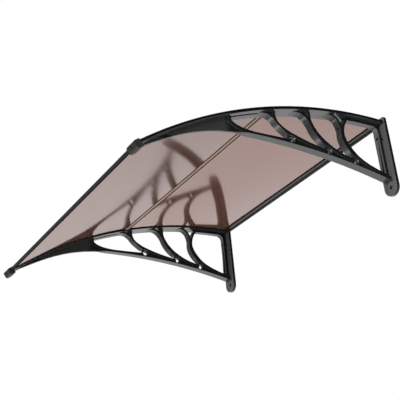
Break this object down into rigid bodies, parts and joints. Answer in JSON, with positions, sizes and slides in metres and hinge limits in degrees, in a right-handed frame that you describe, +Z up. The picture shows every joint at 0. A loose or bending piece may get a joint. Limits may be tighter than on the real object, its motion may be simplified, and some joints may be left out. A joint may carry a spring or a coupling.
{
  "type": "door canopy",
  "caption": "Arched polycarbonate door canopy on two moulded cantilever wall brackets with open spoke windows, front and rear bars and a wall seal.",
  "frame": {"origin": "the middle of the wall seal's flat back, in the wall plane, midway between the brackets", "axes": "+X along the wall, +Y into the wall (the roof reaches out along -Y), +Z up"},
  "size_m": [1.008, 0.9493, 0.3196],
  "materials": {
    "black_moulding": "satin black moulded plastic",
    "bronze_polycarbonate": "glossy bronze-tinted translucent polycarbonate sheet",
    "coated_aluminium": "dark powder coat on extruded aluminium",
    "clear_polycarbonate": "lightly tinted extruded profile",
    "black_rubber": "matt black rubber",
    "black_steel": "blackened steel"
  },
  "bodies": {
    "root": {"bracket_left": "black_moulding", "bracket_right": "black_moulding", "front_sheet": "bronze_polycarbonate", "rear_sheet": "bronze_polycarbonate", "sheet_joint_profile": "clear_polycarbonate", "front_bar": "coated_aluminium", "rear_bar": "coated_aluminium", "wall_seal": "black_rubber", "front_cap_left": "black_moulding", "front_cap_right": "black_moulding", "press_strip_left": "coated_aluminium", "press_strip_right": "coated_aluminium", "cap_screw_left": "black_steel", "cap_screw_right": "black_steel", "rear_bar_screw_left": "black_steel", "rear_bar_screw_right": "black_steel", "strip_screw_left_1": "black_steel", "strip_screw_left_2": "black_steel", "strip_screw_left_3": "black_steel", "strip_screw_left_4": "black_steel", "strip_screw_left_5": "black_steel", "strip_screw_right_1": "black_steel", "strip_screw_right_2": "black_steel", "strip_screw_right_3": "black_steel", "strip_screw_right_4": "black_steel", "strip_screw_right_5": "black_steel", "strip_washer_left_1": "black_rubber", "strip_washer_left_2": "black_rubber", "strip_washer_left_3": "black_rubber", "strip_washer_left_4": "black_rubber", "strip_washer_left_5": "black_rubber", "strip_washer_right_1": "black_rubber", "strip_washer_right_2": "black_rubber", "strip_washer_right_3": "black_rubber", "strip_washer_right_4": "black_rubber", "strip_washer_right_5": "black_rubber"}
  },
  "joints": []
}
